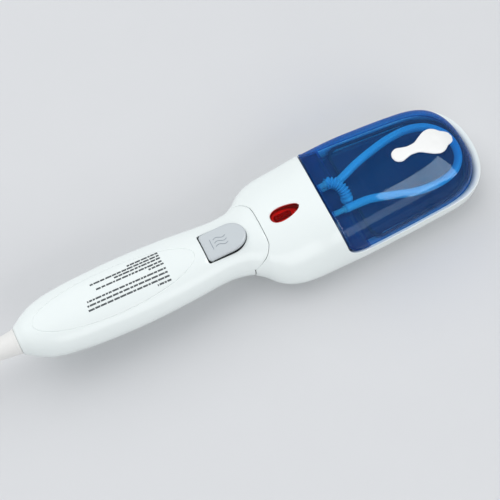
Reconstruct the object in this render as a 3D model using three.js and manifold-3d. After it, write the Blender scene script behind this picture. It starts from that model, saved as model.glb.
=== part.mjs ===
// Handheld garment steamer: a rounded handle with a steam button, a neck that
// widens into a flat-soled steaming head, and a clear blue water tank on top.
// Units are millimetres. +X runs from the handle to the tip of the head, +Z is
// up, and the sole lies on z = 0 with the origin under the middle of the body.

import * as THREE from 'three';
import { mergeVertices } from 'three/addons/utils/BufferGeometryUtils.js';
import Module from 'manifold-3d';

const wasm = await Module();
wasm.setup();

// ---------------------------------------------------------------- sizes

const END = 167;                 // half of the body's length
const WALL = 2.2;                // thickness of the white shells
const GAP = 0.3;                 // clearance between pieces that touch
const PARTING = 31;              // height of the split between the handle halves
const SOLE_TOP = 8;              // top of the sole frame
const RIM_TOP = 24.5;            // top of the white rim that carries the tank
const TANK_WALL = 2.2;
const TANK_END = 161.4;          // tip of the tank
const CORD_AXIS = 33;            // height at which the cord leaves the handle

// Steam button, a D in plan, hinged on a pin at its flat rear edge.
const BUTTON = { rear: -36.4, front: -6.6, half: 10, bottom: 38.2, rearTop: 46.9, frontTop: 49.2 };
const PIVOT = { x: -34, z: 40.5, pinRadius: 1.5, holeRadius: 1.8 };

// Hand pump under the button.
const PUMP = { x: -14 };

// Mains cord, wound into a coil behind the handle.
const CORD_RADIUS = 3.25;
const COIL = { x: -333, inner: 22.6, outer: 49, height: 13.4 };

// ---------------------------------------------------------------- body form

// A smooth curve through points, with no overshoot between them.
function curve(points) {
  const x = points.map((p) => p[0]);
  const y = points.map((p) => p[1]);
  const last = x.length - 1;
  const step = x.slice(1).map((value, i) => value - x[i]);
  const slope = step.map((width, i) => (y[i + 1] - y[i]) / width);
  const tangent = x.map((_, i) => {
    if (i === 0) return slope[0];
    if (i === last) return slope[last - 1];
    if (slope[i - 1] * slope[i] <= 0) return 0;
    const before = 2 * step[i] + step[i - 1];
    const after = step[i] + 2 * step[i - 1];
    return (before + after) / (before / slope[i - 1] + after / slope[i]);
  });
  return (at) => {
    const a = Math.min(Math.max(at, x[0]), x[last]);
    let i = 0;
    while (i < last - 1 && a > x[i + 1]) i += 1;
    const t = (a - x[i]) / step[i];
    const keep = (1 + 2 * t) * (1 - t) ** 2;
    const rise = t * (1 - t) ** 2 * step[i] * tangent[i];
    const fall = t * t * (t - 1) * step[i] * tangent[i + 1];
    return keep * y[i] + (1 - keep) * y[i + 1] + rise + fall;
  };
}

const sideLine = curve([
  [-167, 9.4], [-164, 11.4], [-159, 14.6], [-152, 18], [-141, 20.8], [-118, 23.3], [-90, 24.2],
  [-60, 23.2], [-25, 20.8], [-13, 22.3], [-5, 26.6], [2, 33], [10, 37.5], [20, 39.9],
  [34, 40.7], [60, 40.7], [95, 39.5], [125, 37.8], [167, 36.4],
]);
const crownLine = curve([
  [-167, 42.6], [-160, 46.4], [-148, 48.3], [-120, 48.4], [-70, 47.2], [-25, 45.8],
  [5, 45], [25, 47.2], [50, 52], [80, 55.5], [167, 55.5],
]);
const widestLine = curve([
  [-167, 33], [-140, 33], [-110, 31.5], [-35, 31], [-12, 27], [6, 20], [25, 18.5], [60, 19], [167, 19],
]);
const bellyLine = curve([
  [-167, 23.6], [-160, 20], [-148, 16.5], [-125, 14.6], [-70, 14], [-25, 13.6], [-5, 10.5],
  [12, 4.5], [30, 0.4], [36, 0], [167, 0],
]);
const upperFullness = curve([[-167, 2], [-140, 2.1], [-20, 2.1], [-2, 1.9], [30, 2], [52, 2.5], [167, 2.5]]);
const lowerFullness = curve([[-167, 2], [-140, 2.4], [0, 2.4], [30, 3], [167, 3]]);
const domeFullness = curve([[45, 2.5], [60, 2.7], [85, 3], [162, 3]]);

// Rounds a side or a crown down to nothing between start and end.
function roundOff(x, start, end, power) {
  const t = Math.min(Math.max((x - start) / (end - start), 0), 1);
  return Math.sqrt(1 - t ** power);
}

const power = (value, exponent) => Math.sign(value) * Math.abs(value) ** exponent;

// Cross-section of the body at x, grown outward by a margin (inward if negative).
function bodyRing(x, margin, sides) {
  const half = sideLine(x) * roundOff(x, 112, END, 4.6) + margin;
  const middle = widestLine(x);
  const up = crownLine(x) - middle + margin;
  const down = middle - bellyLine(x) + margin;
  const ring = [];
  for (let i = 0; i < sides; i += 1) {
    const angle = (i / sides) * 2 * Math.PI;
    const above = Math.sin(angle) >= 0;
    const exponent = 2 / (above ? upperFullness(x) : lowerFullness(x));
    const y = half * power(Math.cos(angle), exponent);
    const z = middle + (above ? up : down) * power(Math.sin(angle), exponent);
    ring.push([y, z]);
  }
  return ring;
}

// Cross-section of the tank dome, closed by a flat underside at the rim.
function domeRing(x, margin, sides) {
  const half = (sideLine(x) - 0.8) * roundOff(x, 106, TANK_END, 4.4) + margin;
  const height = (crownLine(x) - GAP - RIM_TOP) * roundOff(x, 94, TANK_END, 3) + margin;
  const exponent = 2 / domeFullness(x);
  const ring = [];
  for (let i = 0; i <= sides; i += 1) {
    const angle = (i / sides) * Math.PI;
    const y = half * power(Math.cos(angle), exponent);
    ring.push([y, RIM_TOP + height * Math.sin(angle) ** exponent]);
  }
  return ring;
}

// ---------------------------------------------------------------- solids

function closedMesh(positions, triangles) {
  const geometry = new THREE.BufferGeometry();
  geometry.setAttribute('position', new THREE.Float32BufferAttribute(positions.flat(), 3));
  geometry.setIndex(triangles.flat());
  return geometry;
}

// Skins a row of rings, each a list of [y, z], and closes both ends.
function loft(stations, ringAt) {
  const positions = [];
  const triangles = [];
  const rings = stations.map((x) => ringAt(x).map(([y, z]) => [x, y, z]));
  const count = rings[0].length;
  rings.forEach((ring) => positions.push(...ring));
  for (let r = 0; r < rings.length - 1; r += 1) {
    for (let i = 0; i < count; i += 1) {
      const a = r * count + i;
      const b = r * count + ((i + 1) % count);
      triangles.push([a, b, a + count], [b, b + count, a + count]);
    }
  }
  const start = positions.length;
  [rings[0], rings[rings.length - 1]].forEach((ring) => {
    const centre = [0, 1, 2].map((k) => ring.reduce((sum, p) => sum + p[k], 0) / count);
    positions.push(centre);
  });
  const base = (rings.length - 1) * count;
  for (let i = 0; i < count; i += 1) {
    const next = (i + 1) % count;
    triangles.push([start, next, i], [start + 1, base + i, base + next]);
  }
  return solid(closedMesh(positions, triangles));
}

function solid(geometry) {
  const plain = geometry.clone();
  plain.deleteAttribute('normal');
  plain.deleteAttribute('uv');
  const merged = mergeVertices(plain, 1e-4);
  return new wasm.Manifold(new wasm.Mesh({
    numProp: 3,
    vertProperties: new Float32Array(merged.attributes.position.array),
    triVerts: new Uint32Array(merged.index.array),
  }));
}

function surface(shape) {
  const mesh = shape.getMesh();
  const geometry = new THREE.BufferGeometry();
  geometry.setAttribute('position', new THREE.Float32BufferAttribute(mesh.vertProperties, 3));
  geometry.setIndex(Array.from(mesh.triVerts));
  return geometry;
}

const box = (x0, x1, y0, y1, z0, z1) => solid(
  new THREE.BoxGeometry(x1 - x0, y1 - y0, z1 - z0)
    .translate((x0 + x1) / 2, (y0 + y1) / 2, (z0 + z1) / 2),
);

// A cylinder or cone along an axis, from one end to the other.
function rod(axis, from, to, across, radius, sides = 16, endRadius = radius) {
  const geometry = new THREE.CylinderGeometry(endRadius, radius, to - from, sides);
  geometry.translate(0, (from + to) / 2, 0);
  if (axis === 'x') geometry.rotateZ(-Math.PI / 2).translate(0, across[0], across[1]);
  if (axis === 'y') geometry.translate(across[0], 0, across[1]);
  if (axis === 'z') geometry.rotateX(Math.PI / 2).translate(across[0], across[1], 0);
  return solid(geometry);
}

// A plan outline of [x, y] points raised between two heights.
function prism(outline, z0, z1) {
  const shape = new THREE.Shape(outline.map(([x, y]) => new THREE.Vector2(x, y)));
  return solid(new THREE.ExtrudeGeometry(shape, { depth: z1 - z0, bevelEnabled: false }).translate(0, 0, z0));
}

// A side outline of [x, z] points carried across the whole width.
function acrossBody(outline) {
  const reach = 60;
  const shape = new THREE.Shape(outline.map(([x, z]) => new THREE.Vector2(x, z)));
  const geometry = new THREE.ExtrudeGeometry(shape, { depth: 2 * reach, bevelEnabled: false });
  return solid(geometry.translate(0, 0, -reach).rotateX(Math.PI / 2));
}

// A profile of [radius, height] points turned about a vertical axis.
function turned(profile, x, y, sides = 20) {
  const geometry = new THREE.LatheGeometry(profile.map(([r, z]) => new THREE.Vector2(r, z)), sides);
  return solid(geometry.rotateX(Math.PI / 2).translate(x, y, 0));
}

// A hose or wire of round section along a smooth line through points.
function hose(points, radius, steps, sides = 8) {
  const path = new THREE.CatmullRomCurve3(points.map((p) => new THREE.Vector3(...p)), false, 'centripetal');
  const corners = [];
  for (let i = 0; i < sides; i += 1) {
    const angle = (i / sides) * 2 * Math.PI;
    corners.push(new THREE.Vector2(radius * Math.cos(angle), radius * Math.sin(angle)));
  }
  return new THREE.ExtrudeGeometry(new THREE.Shape(corners), { extrudePath: path, steps });
}

const join = (first, ...others) => others.reduce((sum, other) => sum.add(other), first);
const cut = (first, ...others) => others.reduce((rest, other) => rest.subtract(other), first);

// ---------------------------------------------------------------- shells of the body

const bodyStations = [
  -167, -164, -159, -151, -138, -115, -80, -48, -25, -12, -4, 4, 14, 26, 45,
  75, 105, 124, 138, 148, 156, 161, 164.8, 166.95,
];
const innerStations = [
  -164.6, -158, -145, -120, -85, -50, -25, -12, -4, 4, 14, 26, 45, 80, 115, 135, 148, 156, 162,
];
const domeStations = [44, 62, 84, 104, 122, 136, 146, 153, 157.5, 160.4];

const bodySolid = loft(bodyStations, (x) => bodyRing(x, 0, 24));
const bodyHollow = loft(innerStations, (x) => bodyRing(x, -WALL, 20));
const bodyShell = bodySolid.subtract(bodyHollow);

// Side outlines: where the handle cover ends, and where the tank begins.
const NECK_SEAM = [[4.5, 80], [4.5, 43.6], [4, 42.4], [-9.8, PARTING], [-9.8, -10]];
const neckRegion = (shift) => acrossBody([
  [200, -10], [200, 80], ...NECK_SEAM.map(([x, z]) => [x + shift, z]),
]);

// The tank's front edge leans back and turns into the rim through a round corner.
const TANK_FRONT = { top: 44.76, foot: 50.3, cornerEnd: 66, cornerLength: 15.6, cornerHeight: 13 };

function tankRegion(inset, open = false) {
  const { top, foot, cornerEnd, cornerLength, cornerHeight } = TANK_FRONT;
  const rim = RIM_TOP + inset;
  const floor = open ? RIM_TOP - 5 : rim;
  const outline = [[top + inset, 60], [foot + inset, RIM_TOP + cornerHeight]];
  for (let i = 1; i <= 5; i += 1) {
    const angle = (i / 6) * (Math.PI / 2);
    outline.push([
      cornerEnd + inset - cornerLength * Math.cos(angle),
      rim + cornerHeight * (1 - Math.sin(angle)),
    ]);
  }
  outline.push([cornerEnd + inset, rim], [cornerEnd + inset + 0.1, floor], [200, floor], [200, 60]);
  return acrossBody(outline);
}

// Where the hoses pass through the tank's front wall, and how far each fitting reaches.
const hosePorts = [
  { y: 8.6, z: 39.5, reach: 57.4 },
  { y: 9.5, z: 31, reach: 64.4 },
  { y: -10.5, z: 32, reach: 63 },
];
const portHole = (port) => rod('x', 40, 64, [port.y, port.z], 2.3, 12);

// Button outline in plan, grown by a margin.
function buttonOutline(margin) {
  const half = BUTTON.half + margin;
  const centre = BUTTON.front - BUTTON.half - 2.5;
  const outline = [[BUTTON.rear - margin, half - 0.8], [BUTTON.rear - margin, -half + 0.8],
    [BUTTON.rear - margin + 0.8, -half]];
  for (let i = 0; i <= 10; i += 1) {
    const angle = (i / 10 - 0.5) * Math.PI;
    outline.push([centre + (12.5 + margin) * Math.cos(angle), half * Math.sin(angle)]);
  }
  outline.push([BUTTON.rear - margin + 0.8, half]);
  return outline;
}

const handleScrews = [-132, -84, -48];
const soleScrews = [[34, 20], [34, -20], [152.5, 13], [152.5, -13]];

function handleCover() {
  const region = box(-200, 60, -60, 60, PARTING + GAP / 2, 80).subtract(neckRegion(-GAP));
  const bosses = [-1, 1].map((side) => {
    const y = side * 12.9;
    return box(PIVOT.x - 3, PIVOT.x + 3, y - 1.5, y + 1.5, PIVOT.z - 3, PIVOT.z + 2.2);
  });
  const posts = handleScrews.map((x) => rod('z', PARTING + 0.6, 47, [x, 0], 3.6, 12));
  const bores = handleScrews.map((x) => rod('z', 20, 42, [x, 0], 1.9, 10));
  const whole = join(bodyShell, ...bosses, ...posts).intersect(bodySolid).intersect(region);
  return cut(
    whole,
    prism(buttonOutline(0.5), PIVOT.z - 4, 60),
    rod('y', -20, 20, [PIVOT.x, PIVOT.z], PIVOT.holeRadius, 12),
    rod('x', -170, -160, [0, CORD_AXIS], 6.6, 20),
    ...bores,
  );
}

function handleBase() {
  const region = box(-200, 60, -60, 60, -5, PARTING - GAP / 2).subtract(neckRegion(-GAP));
  const posts = handleScrews.map((x) => rod('z', 10, PARTING - 0.3, [x, 0], 5, 14));
  const bores = handleScrews.flatMap((x) => [
    rod('z', 0, 40, [x, 0], 1.9, 10),
    rod('z', 0, bellyLine(x) + 5.4, [x, 0], 3.5, 14),
  ]);
  const whole = join(bodyShell, ...posts).intersect(bodySolid).intersect(region);
  return cut(whole, rod('x', -170, -160, [0, CORD_AXIS], 6.6, 20), ...bores);
}

// Teardrop window for the lamp, blunt at the rear and pointed toward the tip.
function lampOutline(margin) {
  const front = 32.4 + margin;
  const rear = 12.2 - margin;
  const half = 4.9 + margin;
  const outline = [];
  for (let i = 0; i < 24; i += 1) {
    const angle = (i / 24) * 2 * Math.PI;
    const along = (1 + Math.cos(angle)) / 2;
    const taper = 1 - 0.32 * along;
    outline.push([rear + (front - rear) * along ** 1.12, half * Math.sin(angle) * taper * 1.12]);
  }
  return outline;
}

// The lens fills the teardrop window, a little proud of the white shell.
function lampLens() {
  const stations = [5, 15, 25, 38, 46];
  const skin = loft(stations, (x) => bodyRing(x, 0.5, 32));
  const under = loft(stations, (x) => bodyRing(x, -2.6, 32));
  return skin.subtract(under).intersect(prism(lampOutline(0), 36, 60));
}

function headHousing() {
  const posts = soleScrews.map(([x, y]) => rod('z', SOLE_TOP + GAP, 19, [x, y], 3.4, 12));
  const webs = soleScrews.map(([x, y]) => (
    x < 100
      ? box(x - 0.9, x + 0.9, Math.min(y, y * 2), Math.max(y, y * 2), SOLE_TOP + GAP, 18)
      : box(x, 166, y - 0.9, y + 0.9, SOLE_TOP + GAP, 18)
  ));
  const whole = join(bodyShell, ...posts, ...webs).intersect(bodySolid);
  return cut(
    whole.intersect(neckRegion(0)),
    tankRegion(0),
    box(0, 200, -60, 60, -5, SOLE_TOP + GAP),
    prism(lampOutline(0.3), 36, 60),
    ...soleScrews.map(([x, y]) => rod('z', 0, 16, [x, y], 1.7, 10)),
  );
}

// ---------------------------------------------------------------- head and sole

// Plan outline of the head, drawn in by an inset, from a straight rear edge.
function headPlan(inset, rear, tip) {
  const stations = [rear, rear + 20, rear + 50, 112, 126, 136, 144, 150, 155, 159, 162, 164.5, 166];
  const squeeze = (tip - rear) / (166 - rear);
  const side = stations.map((x) => [
    rear + (x - rear) * squeeze,
    sideLine(x) * roundOff(x, 112, END, 4.6) - inset,
  ]);
  const right = side.filter((point) => point[1] > 2);
  const left = right.map(([x, y]) => [x, -y]).reverse();
  const corner = Math.min(6, right[0][1]);
  return [
    [rear, -right[0][1] + corner], [rear, right[0][1] - corner],
    [rear + corner * 0.3, right[0][1] - corner * 0.3], [rear + corner, right[0][1]],
    ...right.slice(1), [tip, 0], ...left.slice(0, -1),
    [rear + corner, -right[0][1]], [rear + corner * 0.3, -right[0][1] + corner * 0.3],
  ];
}

function steamHoles() {
  const holes = [];
  for (let row = -2; row <= 2; row += 1) {
    const count = row % 2 === 0 ? 4 : 3;
    for (let i = 0; i < count; i += 1) {
      const x = 95 + (i - (count - 1) / 2) * 22;
      holes.push(rod('z', -1, 5, [x, row * 11], 1.6, 7));
    }
  }
  return holes;
}

function soleFrame() {
  const band = bodySolid.intersect(box(-10, 200, -60, 60, 0.6, SOLE_TOP)).intersect(neckRegion(0));
  const screws = soleScrews.flatMap(([x, y]) => [
    rod('z', -1, 12, [x, y], 1.7, 10),
    rod('z', -1, 3.2, [x, y], 3.2, 14),
  ]);
  return cut(band, prism(headPlan(8.6, 43.6, 146.4), -1, 12), ...screws);
}

const steamPlate = () => cut(prism(headPlan(9, 44, 146), 0, 3.2), ...steamHoles());

function heaterBlock() {
  const block = prism(headPlan(13, 48, 141), 3.6, 12);
  const ribs = [70, 112].map((x) => box(x - 1.5, x + 1.5, -22, 22, 11, 15));
  const inlet = rod('x', 42, 52, [-8, 10.6], 2, 10);
  return join(block, ...ribs, inlet);
}

const heatShield = () => prism(headPlan(4.2, 50, 158), 19.6, 20.4);

// Dark tray under the tank, with a front wall that closes the neck.
function tankBase() {
  const clear = loft(innerStations, (x) => bodyRing(x, -WALL - GAP, 20));
  const slab = tankRegion(-WALL).subtract(tankRegion(0)).intersect(box(40, 80, -60, 60, RIM_TOP - 2.9, 60));
  const floor = prism(headPlan(2.9, 64, 161.5), RIM_TOP - 2.9, RIM_TOP);
  return cut(join(slab.intersect(clear), floor.intersect(clear)), ...hosePorts.map(portHole));
}

// ---------------------------------------------------------------- water tank

// Bone-shaped outline of the filler cap: small round end, waist, big end, tab.
function capOutline(margin) {
  const widths = curve([
    [101, 0], [101.5, 2.6], [103, 4.2], [105.8, 5.1], [109, 4.3], [114, 3.3], [119, 3.7], [125, 6.6],
    [130, 9], [134, 9.7], [138, 8.6], [141.5, 6], [144.5, 4.9], [147, 3.4], [148, 0],
  ]);
  const stations = [101.3, 102.2, 103.8, 106, 109, 114, 119, 124, 129, 134, 138.5, 142, 145, 147.2, 148];
  const side = stations.map((x) => {
    const along = (x - 124.5) / 23.5;
    return [x + margin * along, widths(x) + margin];
  });
  return [...side, ...side.map(([x, y]) => [x, -y]).reverse()];
}

const FILLER = { x: 134, radius: 5, hinge: 114 };
const domeSolid = (margin) => loft(domeStations, (x) => domeRing(x, margin, 16));

function waterTank() {
  const outer = domeSolid(0).intersect(tankRegion(GAP));
  const inner = domeSolid(-TANK_WALL).intersect(tankRegion(GAP + TANK_WALL, true));
  const lid = domeSolid(2).subtract(domeSolid(-1.1));
  const bed = lid.intersect(prism(capOutline(1.4), 40, 62));
  return cut(
    outer,
    inner,
    box(0, 200, -60, 60, 0, RIM_TOP + GAP),
    bed,
    rod('z', 40, 62, [FILLER.x, 0], FILLER.radius, 16),
    ...hosePorts.map(portHole),
  );
}

function tankGasket() {
  const outline = headPlan(4.2, 72, 156);
  const hole = headPlan(5.8, 73.6, 154.4);
  return prism(outline, RIM_TOP + 0.1, RIM_TOP + 1.6).subtract(prism(hole, 20, 40));
}

const capSheet = () => domeSolid(0.9).subtract(domeSolid(-0.8)).intersect(prism(capOutline(0), 40, 62));

function fillerCap() {
  const sheet = capSheet().intersect(box(FILLER.hinge + 0.25, 160, -20, 20, 40, 62));
  const plug = rod('z', 48, 52, [FILLER.x, 0], 3.7, 16, 4.1);
  return join(sheet, plug);
}

const fillerCapAnchor = () => capSheet().intersect(box(90, FILLER.hinge - 0.25, -20, 20, 40, 62));

// ---------------------------------------------------------------- steam button and pump

function steamButton() {
  const { rear, front, bottom, rearTop, frontTop } = BUTTON;
  const wedge = (drop, low) => acrossBody([
    [rear - 2, low], [front + 2, low], [front + 2, frontTop - drop], [rear - 2, rearTop - drop],
  ]);
  const block = prism(buttonOutline(0), 30, 60).intersect(wedge(0, bottom));
  const hollow = prism(buttonOutline(-1.6), 30, 60).intersect(wedge(2, bottom - 1));
  const post = rod('z', 42, 48, [PUMP.x, 0], 2.4, 12).intersect(wedge(0.5, bottom));
  const pinHole = rod('y', -14, 14, [PIVOT.x, PIVOT.z], PIVOT.holeRadius, 12);
  return join(cut(block, hollow, pinHole), post);
}

const pumpBody = () => join(
  turned([[0, 17.5], [8, 17.5], [8, 29.4], [6, 29.4], [6, 19.5], [0, 19.5]], PUMP.x, 0),
  rod('x', PUMP.x + 7, PUMP.x + 14, [3.4, 22], 1.6, 10),
  rod('x', PUMP.x + 7, PUMP.x + 14, [-3.4, 22], 1.6, 10),
);
const pumpLid = () => turned([[2.9, 29.7], [8, 29.7], [8, 31], [2.9, 31], [2.9, 29.7]], PUMP.x, 0);
const pumpPiston = () => turned([
  [0, 22.6], [4.4, 22.6], [4.4, 26.4], [2.5, 26.4], [2.5, 39.8], [4.8, 39.8], [4.8, 41.6], [0, 41.6],
], PUMP.x, 0, 16);
const pistonSeal = () => turned([
  [4.7, 23.8], [5.7, 23.8], [5.7, 25.2], [4.7, 25.2], [4.7, 23.8],
], PUMP.x, 0, 16);

function pumpSpring() {
  const turns = 4.5;
  const points = [];
  for (let i = 0; i <= turns * 8; i += 1) {
    const angle = (i / 8) * 2 * Math.PI;
    points.push([PUMP.x + 3.7 * Math.cos(angle), 3.7 * Math.sin(angle), 31.9 + (7 * i) / (turns * 8)]);
  }
  return hose(points, 0.5, 40, 5);
}

// ---------------------------------------------------------------- screws and cord

function screw(x, y, z, length, head = 2.9) {
  return turned([
    [0, z], [head, z], [head, z + 1.6], [1.35, z + 2.4], [1.35, z + length], [0, z + length + 1],
  ], x, y, 12);
}

function strainRelief() {
  const profile = [
    [0, 0], [3.6, 0], [4.3, 10], [5.6, 24], [7.2, 38], [8.3, 47], [8.6, 47.5], [8.6, 48.6],
    [6.2, 48.6], [6.2, 52.5], [7.6, 52.5], [7.6, 54.5], [0, 54.5],
  ];
  const geometry = new THREE.LatheGeometry(profile.map(([r, a]) => new THREE.Vector2(r, a)), 16);
  return solid(geometry.rotateZ(-Math.PI / 2).translate(-END - GAP - 48.6, 0, CORD_AXIS));
}

const CORD_ROUTE = [
  [-216.2, 0, 33], [-224, 0, 32.6], [-234, 0, 30], [-245, 0.5, 24], [-255, 2.5, 16.5], [-264, 6, 10.2],
  [-272, 10, 6.2], [-279, 15, 4], [-285, 22, 3.4], [-289.6, 29.5, 3.4],
];
const TAIL_ROUTE = [
  [-327, -53, 3.4], [-319, -54.5, 3.4], [-311, -56.8, 4], [-304, -58.4, 6.4], [-299, -59, 7.6],
  [-294.5, -59, 7.6],
];
const PLUG = { rear: -294, front: -262, y: -59, z: 7.6 };

function coilTie() {
  const middle = (COIL.inner + COIL.outer) / 2;
  const half = (COIL.outer - COIL.inner) / 2;
  const band = (room, low, high, reach) => box(
    COIL.x - middle - half - room, COIL.x - middle + half + room, -reach, reach, low, high,
  );
  return band(2.4, 0.2, COIL.height + 1.7, 5).subtract(band(1.1, 1.4, COIL.height + 0.4, 6));
}

function cordCoil() {
  const { inner, outer, height } = COIL;
  const ring = turned([
    [inner + 3, 0], [outer - 3, 0], [outer, 3], [outer, height - 3], [outer - 3, height],
    [inner + 3, height], [inner, height - 3], [inner, 3], [inner + 3, 0],
  ], COIL.x, 0, 26);
  const middle = (inner + outer) / 2;
  return ring.subtract(box(COIL.x - middle - 16, COIL.x - middle + 16, -5.4, 5.4, -1, 1.7));
}

function plugBody() {
  const { rear, front, y, z } = PLUG;
  return loft([rear, rear + 8, rear + 16, front - 3, front], (x) => {
    const grow = Math.min(1, (x - rear) / 16);
    const half = 4.6 + 8 * grow - (x === front ? 1 : 0);
    const thick = 4.4 + 2.6 * grow - (x === front ? 1 : 0);
    const ring = [];
    for (let i = 0; i < 16; i += 1) {
      const angle = (i / 16) * 2 * Math.PI;
      ring.push([y + half * power(Math.cos(angle), 0.7), z + thick * power(Math.sin(angle), 0.7)]);
    }
    return ring;
  });
}

// ---------------------------------------------------------------- assembly

const group = new THREE.Group();

const paint = {
  white: { color: 0xf2f6f4, roughness: 0.18 },
  cream: { color: 0xece7da, roughness: 0.45 },
  grey: { color: 0xb9bfc4, roughness: 0.4 },
  blue: { color: 0x1c4f9c, roughness: 0.06, transparent: true, opacity: 0.6 },
  navy: { color: 0x14284f, roughness: 0.5 },
  hoseBlue: { color: 0x9fc3e6, roughness: 0.35, transparent: true, opacity: 0.8 },
  silicone: { color: 0xf6f5f0, roughness: 0.6 },
  red: { color: 0xc5141c, roughness: 0.12 },
  dark: { color: 0x2b2d30, roughness: 0.6 },
  rubber: { color: 0x26272a, roughness: 0.8 },
  steel: { color: 0xb8babd, roughness: 0.3, metalness: 1 },
  aluminium: { color: 0xc9cbcd, roughness: 0.35, metalness: 1 },
  brass: { color: 0xc7a353, roughness: 0.3, metalness: 1 },
  glass: { color: 0xe8b9a0, roughness: 0.1 },
};

function add(name, shape, finish) {
  const geometry = shape.isBufferGeometry ? shape : surface(shape);
  const mesh = new THREE.Mesh(geometry, new THREE.MeshStandardMaterial(paint[finish]));
  mesh.name = name;
  group.add(mesh);
}

add('handle_cover', handleCover(), 'white');
add('handle_base', handleBase(), 'white');
add('head_housing', headHousing(), 'white');
add('sole_frame', soleFrame(), 'white');
add('steam_plate', steamPlate(), 'aluminium');
add('heater_block', heaterBlock(), 'aluminium');
add('heat_shield', heatShield(), 'steel');
add('tank_base', tankBase(), 'navy');
add('tank_gasket', tankGasket(), 'rubber');
add('water_tank', waterTank(), 'blue');
add('filler_cap', fillerCap(), 'silicone');
add('filler_cap_anchor', fillerCapAnchor(), 'silicone');

add('steam_button', steamButton(), 'grey');
add('button_pin', rod('y', -14, 14, [PIVOT.x, PIVOT.z], PIVOT.pinRadius, 12), 'steel');
add('pump_body', pumpBody(), 'grey');
add('pump_lid', pumpLid(), 'grey');
add('pump_piston', pumpPiston(), 'grey');
add('piston_seal', pistonSeal(), 'rubber');
add('pump_spring', pumpSpring(), 'steel');

// Check valves in the two hoses between the pump, the tank and the heater.
add('inlet_valve', rod('x', 14, 24, [8, 30], 3.4, 12, 2.4), 'grey');
add('outlet_valve', rod('x', 10, 20, [-9, 22], 2.4, 12, 3.4), 'grey');
const HOSES = [
  ['suction_hose', 1.9, 8, [[24.4, 8, 30], [27, 8, 30], [34, 9, 31], [41, 9.5, 31], [43.6, 9.5, 31]]],
  ['pump_hose', 1.5, 8, [[0.3, 3.4, 22], [2.5, 3.4, 22], [7, 5.5, 26.5], [11, 8, 30], [13.6, 8, 30]]],
  ['outlet_hose', 1.4, 8, [[0.3, -3.4, 22], [2, -3.4, 22], [6, -8.8, 22], [8, -9, 22], [9.7, -9, 22]]],
  ['feed_hose', 1.5, 10, [
    [20.3, -9, 22], [30, -9, 20], [36, -8.2, 11.4], [38.5, -8, 10.6], [41.7, -8, 10.6],
  ]],
];
HOSES.forEach(([name, radius, steps, route]) => add(name, hose(route, radius, steps), 'hoseBlue'));

// Fittings through the bulkhead, and the hoses inside the tank.
hosePorts.forEach((port, i) => {
  const { y, z, reach } = port;
  const spigot = rod('x', 44, reach, [y, z], 1.9, 12);
  const shoulder = rod('x', reach - 1.4, reach, [y, z], 2.6, 12);
  add(`tank_fitting_${i + 1}`, join(spigot, shoulder), 'grey');
});
const BELLOWS_ROUTE = [
  [57.8, 8.6, 39.5], [60, 8.5, 39.5], [64, 6, 38.8], [66.6, 1.4, 37], [67.2, -2.8, 34.6],
  [67.2, -4, 32.8], [67.2, -4, 31.3],
];
add('pickup_bellows', hose(BELLOWS_ROUTE, 3.8, 14, 10), 'hoseBlue');
add('pickup_filter', rod('z', 28.2, 30.8, [67.2, -4], 3.2, 12), 'grey');
const WATER_ROUTE = [
  [64.8, 9.5, 31], [67, 9.6, 31], [74, 12, 31.5], [84, 15.6, 32.5], [97, 19, 33.5], [112, 22, 34],
  [127, 22.6, 34], [140, 19, 33.5], [149, 10, 33], [151.5, 0, 33], [149.5, -10, 33], [142, -18, 33],
  [129, -21.4, 33], [112, -20.4, 33], [97, -16, 33], [82, -11.6, 32.6], [72, -10.5, 32], [63.4, -10.5, 32],
];
add('water_hose', hose(WATER_ROUTE, 2.8, 38, 8), 'hoseBlue');

// Heater controls and wiring.
const THERMOSTAT = [[0, 12.4], [7.5, 12.4], [7.5, 16], [4, 16], [4, 18.8], [0, 18.8]];
add('thermostat', turned(THERMOSTAT, 91, 0, 16), 'steel');
add('thermal_fuse', rod('y', -7, 7, [58, 14], 1.6, 10), 'brass');
add('lamp_lens', lampLens(), 'red');
add('neon_lamp', rod('x', 14.5, 27, [0, 39.6], 2.2, 12), 'glass');
add('lamp_holder', box(12, 30, -3.6, 3.6, 33.4, 36.9), 'dark');
add('terminal_block', box(-74, -58, -7, 7, 20, 28), 'dark');
add('cord_clamp', box(-152, -145, -9, 9, 26.2, 29.2), 'grey');
const CORE_ROUTE = [
  [-160.6, 0, 33], [-152, 0, 33], [-143, 4, 32], [-132, 9, 29], [-115, 9.5, 25],
  [-96, 10.5, 24], [-84, 10.5, 24], [-78, 5.5, 24], [-76, 4.2, 24], [-74.5, 4, 24],
];
add('cord_core', hose(CORE_ROUTE, 2.6, 24), 'cream');
[-1, 1].forEach((side) => {
  const route = [
    [-57.6, 4, 24], [-46, 9, 24], [-30, 13.5, 24], [-10, 13.5, 24], [10, 15, 22],
    [40, 15, 17.4], [60, 15, 17.4],
  ].map(([x, y, z]) => [x, side * y, z]);
  add(side < 0 ? 'lead_live' : 'lead_neutral', hose(route, 1.1, 24, 6), 'dark');
});
handleScrews.forEach((x, i) => {
  add(`handle_screw_${i + 1}`, screw(x, 0, bellyLine(x) + 2.4, 22), 'steel');
});
soleScrews.forEach(([x, y], i) => add(`sole_screw_${i + 1}`, screw(x, y, 0.8, 13), 'steel'));

add('strain_relief', strainRelief(), 'cream');
add('cord', hose(CORD_ROUTE, CORD_RADIUS, 14), 'cream');
add('cord_coil', cordCoil(), 'cream');
add('coil_tie', coilTie(), 'dark');
add('cord_tail', hose(TAIL_ROUTE, CORD_RADIUS, 6), 'cream');
add('plug_body', plugBody(), 'cream');
[-1, 1].forEach((side, i) => {
  const pin = rod('x', PLUG.front + GAP, PLUG.front + 19, [PLUG.y + side * 9, PLUG.z], 2, 12);
  add(`plug_pin_${i + 1}`, pin, 'brass');
});

export default group;
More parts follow.
